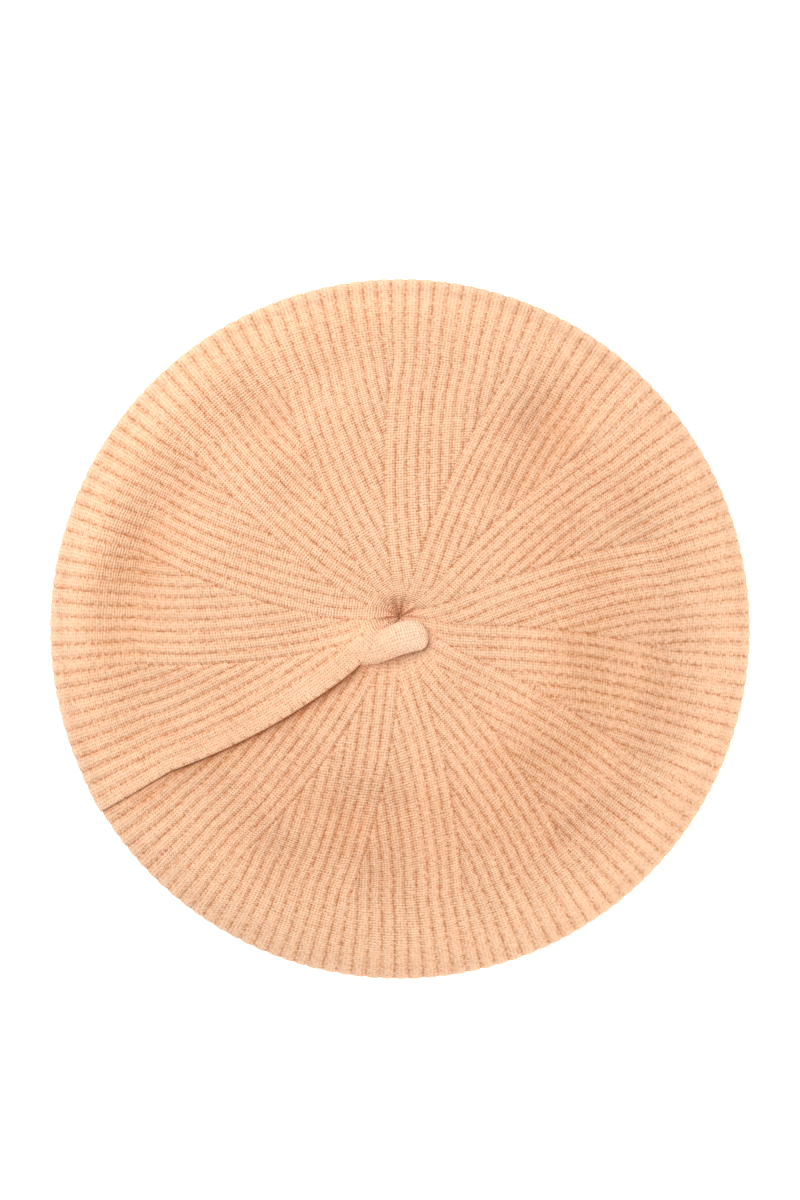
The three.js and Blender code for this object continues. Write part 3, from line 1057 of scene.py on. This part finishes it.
def cloth_slab(name, middle, thickness):
    """A thin closed sheet about a grid of points (row, column, xyz) in millimetres. Returns the piece
    with its flat width and length."""
    normal = unit(np.cross(np.gradient(middle, axis=1), np.gradient(middle, axis=0)))
    rows, columns = middle.shape[:2]
    across = np.linalg.norm(np.diff(middle, axis=1), axis=2).mean(0)
    down = np.linalg.norm(np.diff(middle, axis=0), axis=2).mean(1)
    u, v = np.concatenate([[0], np.cumsum(across)]), np.concatenate([[0], np.cumsum(down)])
    front, back = middle + normal * thickness / 2, middle - normal * thickness / 2
    index = np.arange(rows * columns).reshape(rows, columns)
    faces = []
    for i in range(rows - 1):
        for k in range(columns - 1):
            a, b, c, d = index[i, k], index[i, k + 1], index[i + 1, k + 1], index[i + 1, k]
            faces += [(a, b, c, d), tuple(x + rows * columns for x in (a, d, c, b))]
    round_it = np.concatenate([index[0], index[1:, -1], index[-1, -2::-1], index[-2:0:-1, 0]])
    for a, b in zip(round_it, np.roll(round_it, -1)):
        faces.append((b, a, a + rows * columns, b + rows * columns))
    verts = np.vstack([front.reshape(-1, 3), back.reshape(-1, 3)]) * MM
    piece = mesh_object(name, verts, [tuple(int(x) for x in face) for face in faces])
    flat = np.stack(np.meshgrid(u, v), 2).reshape(-1, 2)
    corners = np.array([loop.vertex_index for loop in piece.data.loops]) % len(flat)
    corner_pairs(piece, "knit", flat[corners])
    return piece, u[-1], v[-1]


def woven_patch():
    """The blank woven label: it follows the headband, its edges wavering a little."""
    low, high = box_mm("woven_label")
    radius, thickness = high.y - 0.35, 0.5
    half = asin(high.x / radius)
    a = np.linspace(-half, half, 91)
    z = np.linspace(low.z, high.z, 41)
    angle, height = np.meshgrid(pi / 2 + a, z)
    edge = np.abs(angle - pi / 2) / half
    r = radius - 0.10 * np.sin(9 * angle + height / 3) * edge**4
    height = height + 0.10 * np.sin(37 * angle) * (np.abs(height - z.mean()) / np.ptp(z) * 2) ** 6
    return cloth_slab("woven_patch", around(r, angle, height), thickness)


def care_loop():
    """The blank satin label, folded along its lower edge, with both ends held at the top."""
    low, high = box_mm("care_label")
    x, top, bottom = (low.x + high.x) / 2, high.z, low.z
    thickness, gap = 0.2, 0.17
    drop = top - bottom - gap - thickness / 2
    down = np.linspace(0, 1, 40)
    side = gap + 0.05 * np.sin(pi * down)
    turn = np.linspace(0, pi, 9)[1:-1]
    outer = np.stack([x - side, top - drop * down], 1)
    fold = np.stack([x - gap * np.cos(turn), top - drop - gap * np.sin(turn)], 1)
    inner = np.stack([x + side, top - drop * down], 1)[::-1]
    section = np.vstack([outer, fold, inner])
    y = np.linspace(low.y, high.y, 61)
    wave = 0.10 * np.sin(y / 4.1) * ((top - section[:, 1]) / drop)[:, None] ** 2
    across, height = np.broadcast_arrays(y, section[:, 1:])
    return cloth_slab("care_loop", np.stack([section[:, :1] + wave, across, height], 2), thickness)


def straight_stitches(name, node, pitch, share):
    """A row of stitches down a woven label's end, each as long as its share of the pitch."""
    low, high = box_mm(node)
    x, y = (low.x + high.x) / 2, (low.y + high.y) / 2
    count = round((high.z - low.z) / pitch)
    step = (high.z - low.z) / count
    inwards = -np.array([x, y]) / hypot(x, y)
    t = np.linspace(0, 1, 14)
    lines = []
    for i in range(count):
        z = low.z + (i + (1 - share) / 2 + share * t) * step
        arch = (np.sin(pi * t) ** 0.5 - 0.9)[:, None] * 0.45
        lines.append(np.column_stack([np.array([x, y]) + inwards * (arch + 0.05), z]))
    return yarn(name, lines, 0.42, sides=8)


def whip_stitches():
    """Slanted stitches over the satin label's top edge and into the headband behind it."""
    low, high = box_mm("care_label_stitch")
    x, z = (low.x + high.x) / 2, (low.z + high.z) / 2
    t = np.linspace(0, 1.1, 20) * pi
    lines = []
    for y in np.linspace(low.y + 0.5, high.y - 1.5, 8):
        across, up = x - 0.45 + 0.95 * np.cos(t), z - 0.3 + 0.7 * np.sin(t)
        lines.append(np.stack([across, y + t / pi, up], 1))
    return yarn("care_whip_stitches", lines, 0.38, sides=8)


# --- the whole object

WOOL = wool("wool_knit", shaped=True)
WOOL_BAND = wool("wool_rib_band", wales=2)
YARN = plied("wool_yarn", RIDGE, GROOVE)
ELASTIC = plied("elastic_cord", (0.86, 0.83, 0.78), (0.55, 0.50, 0.44))
THREAD = plied("sewing_thread", (0.88, 0.74, 0.60), (0.60, 0.44, 0.32))
CREAM, CREAM_DARK = (0.90, 0.84, 0.74), (0.66, 0.57, 0.46)
WHITE, WHITE_DARK = (0.93, 0.91, 0.88), (0.74, 0.70, 0.66)
WOVEN = ribbon("woven_label", CREAM, CREAM_DARK, roughness=0.8, sheen=0.15, pick=0.45)
SATIN = ribbon("satin_label", WHITE, WHITE_DARK, roughness=0.32, sheen=0.3, pick=0.25)


def dress(piece, material, body, node):
    piece.data.materials.append(material)
    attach(piece, body)
    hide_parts(node)


def dress_yarn(piece, node, material=YARN):
    dress(piece, material, "cap", node)


def dress_stub(finger):
    """The stub gets the wool and has its transform baked into its points; the model's stalk is hidden."""
    finger.data.materials.append(WOOL)
    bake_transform(finger)
    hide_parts("stalk")


def dress_wool(shape):
    """The cloth, the headband and the stub. Returns the headband."""
    cloth, flat_area = knit_body(shape)
    finger = stub()
    dress(cloth, WOOL, "cap", "knit_body")
    band, strip = headband()
    dress(band, WOOL_BAND, "cap", "headband")
    dress_stub(finger)
    return band


def dress_yarns(shape):
    dress_yarn(elastic_ring(), "headband_elastic", ELASTIC)
    dress_yarn(linking_stitches(), "headband_linking_chain")
    dress_yarn(end_seam_stitches(), "headband_end_seam")
    dress_yarn(back_seam_stitches(shape), "back_seam_chain")
    dress_yarn(gather_stitches(), "crown_gather_yarn")
    dress_yarn(gather_knot_yarn(), "gather_knot")
    dress_yarn(anchor_yarn(), "stalk_anchor_yarn")


def dress_labels():
    patch, wide, high = woven_patch()
    dress(patch, WOVEN, "cap", "woven_label")
    tag, tag_wide, tag_long = care_loop()
    dress(tag, SATIN, "care_tag", "care_label")
    for side in ("left", "right"):
        node = "woven_label_stitch_" + side
        stitches = straight_stitches("patch_stitches_" + side, node, pitch=2.4, share=0.72)
        dress_yarn(stitches, node, THREAD)
    dress_yarn(whip_stitches(), "care_label_stitch", THREAD)


cloth_shape = Cloth()
headband_piece = dress_wool(cloth_shape)
dress_yarns(cloth_shape)
dress_labels()


# --- floor, light and camera


FLOOR_GLOW = 0.66
SKY_GLOW = 0.565
LIGHT_DISTANCE = 1.6


def floor():
    """A pale floor that glows a little, as a lit white sweep does."""
    half, level = 3.0, -0.3 * MM
    corners = [(x * half, y * half, level) for x, y in ((-1, -1), (1, -1), (1, 1), (-1, 1))]
    piece = mesh_object("floor", corners, [(0, 1, 2, 3)])
    paint = bpy.data.materials.new("pale_floor")
    paint.use_nodes = True
    shader = paint.node_tree.nodes["Principled BSDF"]
    set_inputs(shader, {"Base Color": (0.95, 0.95, 0.95, 1), "Roughness": 0.9})
    set_inputs(shader, {"Emission Color": (1, 1, 1, 1), "Emission Strength": FLOOR_GLOW})
    piece.data.materials.append(paint)


def softbox(name, degrees, elevation, size, power):
    """A square or oblong light, LIGHT_DISTANCE from the middle of the floor and facing it."""
    light = bpy.data.lights.new(name, "AREA")
    light.energy = power
    light.shape = "RECTANGLE"
    light.size, light.size_y = size
    lamp = placed(name, light)
    a, e = radians(degrees), radians(elevation)
    towards = Vector((cos(a) * cos(e), sin(a) * cos(e), sin(e)))
    lamp.location = towards * LIGHT_DISTANCE
    lamp.rotation_euler = lamp.location.to_track_quat("Z", "Y").to_euler()


def studio():
    world = bpy.data.worlds.new("studio")
    world.use_nodes = True
    set_inputs(world.node_tree.nodes["Background"], {"Color": (1, 1, 1, 1), "Strength": SKY_GLOW})
    bpy.context.scene.world = world
    softbox("key", degrees=8, elevation=59, size=(1.2, 1.2), power=23.6)
    softbox("sweep", degrees=205, elevation=4, size=(1.6, 0.14), power=15)


VIEW_HEIGHT = 0.4776  # metres from the top of the picture to its bottom, at the object
VIEW_SHIFT = 0.0115  # the object's middle sits this far below the picture's
VIEW_TURN = radians(-121.5)
LENS, FILM = 85, 36


def camera():
    """Straight above, turned so that the seam runs to the lower left."""
    data = bpy.data.cameras.new("camera")
    data.lens = LENS
    data.sensor_fit = "VERTICAL"
    data.sensor_height = FILM
    eye = placed("camera", data)
    up = Vector((-sin(VIEW_TURN), cos(VIEW_TURN), 0))
    height = LENS / FILM * VIEW_HEIGHT + 0.5 * CAD_BOX[1].z
    eye.location = up * VIEW_SHIFT + Vector((0, 0, height))
    eye.rotation_euler = (0, 0, VIEW_TURN)
    bpy.context.scene.camera = eye
    bpy.context.scene.view_settings.view_transform = "Standard"


floor()
studio()
camera()
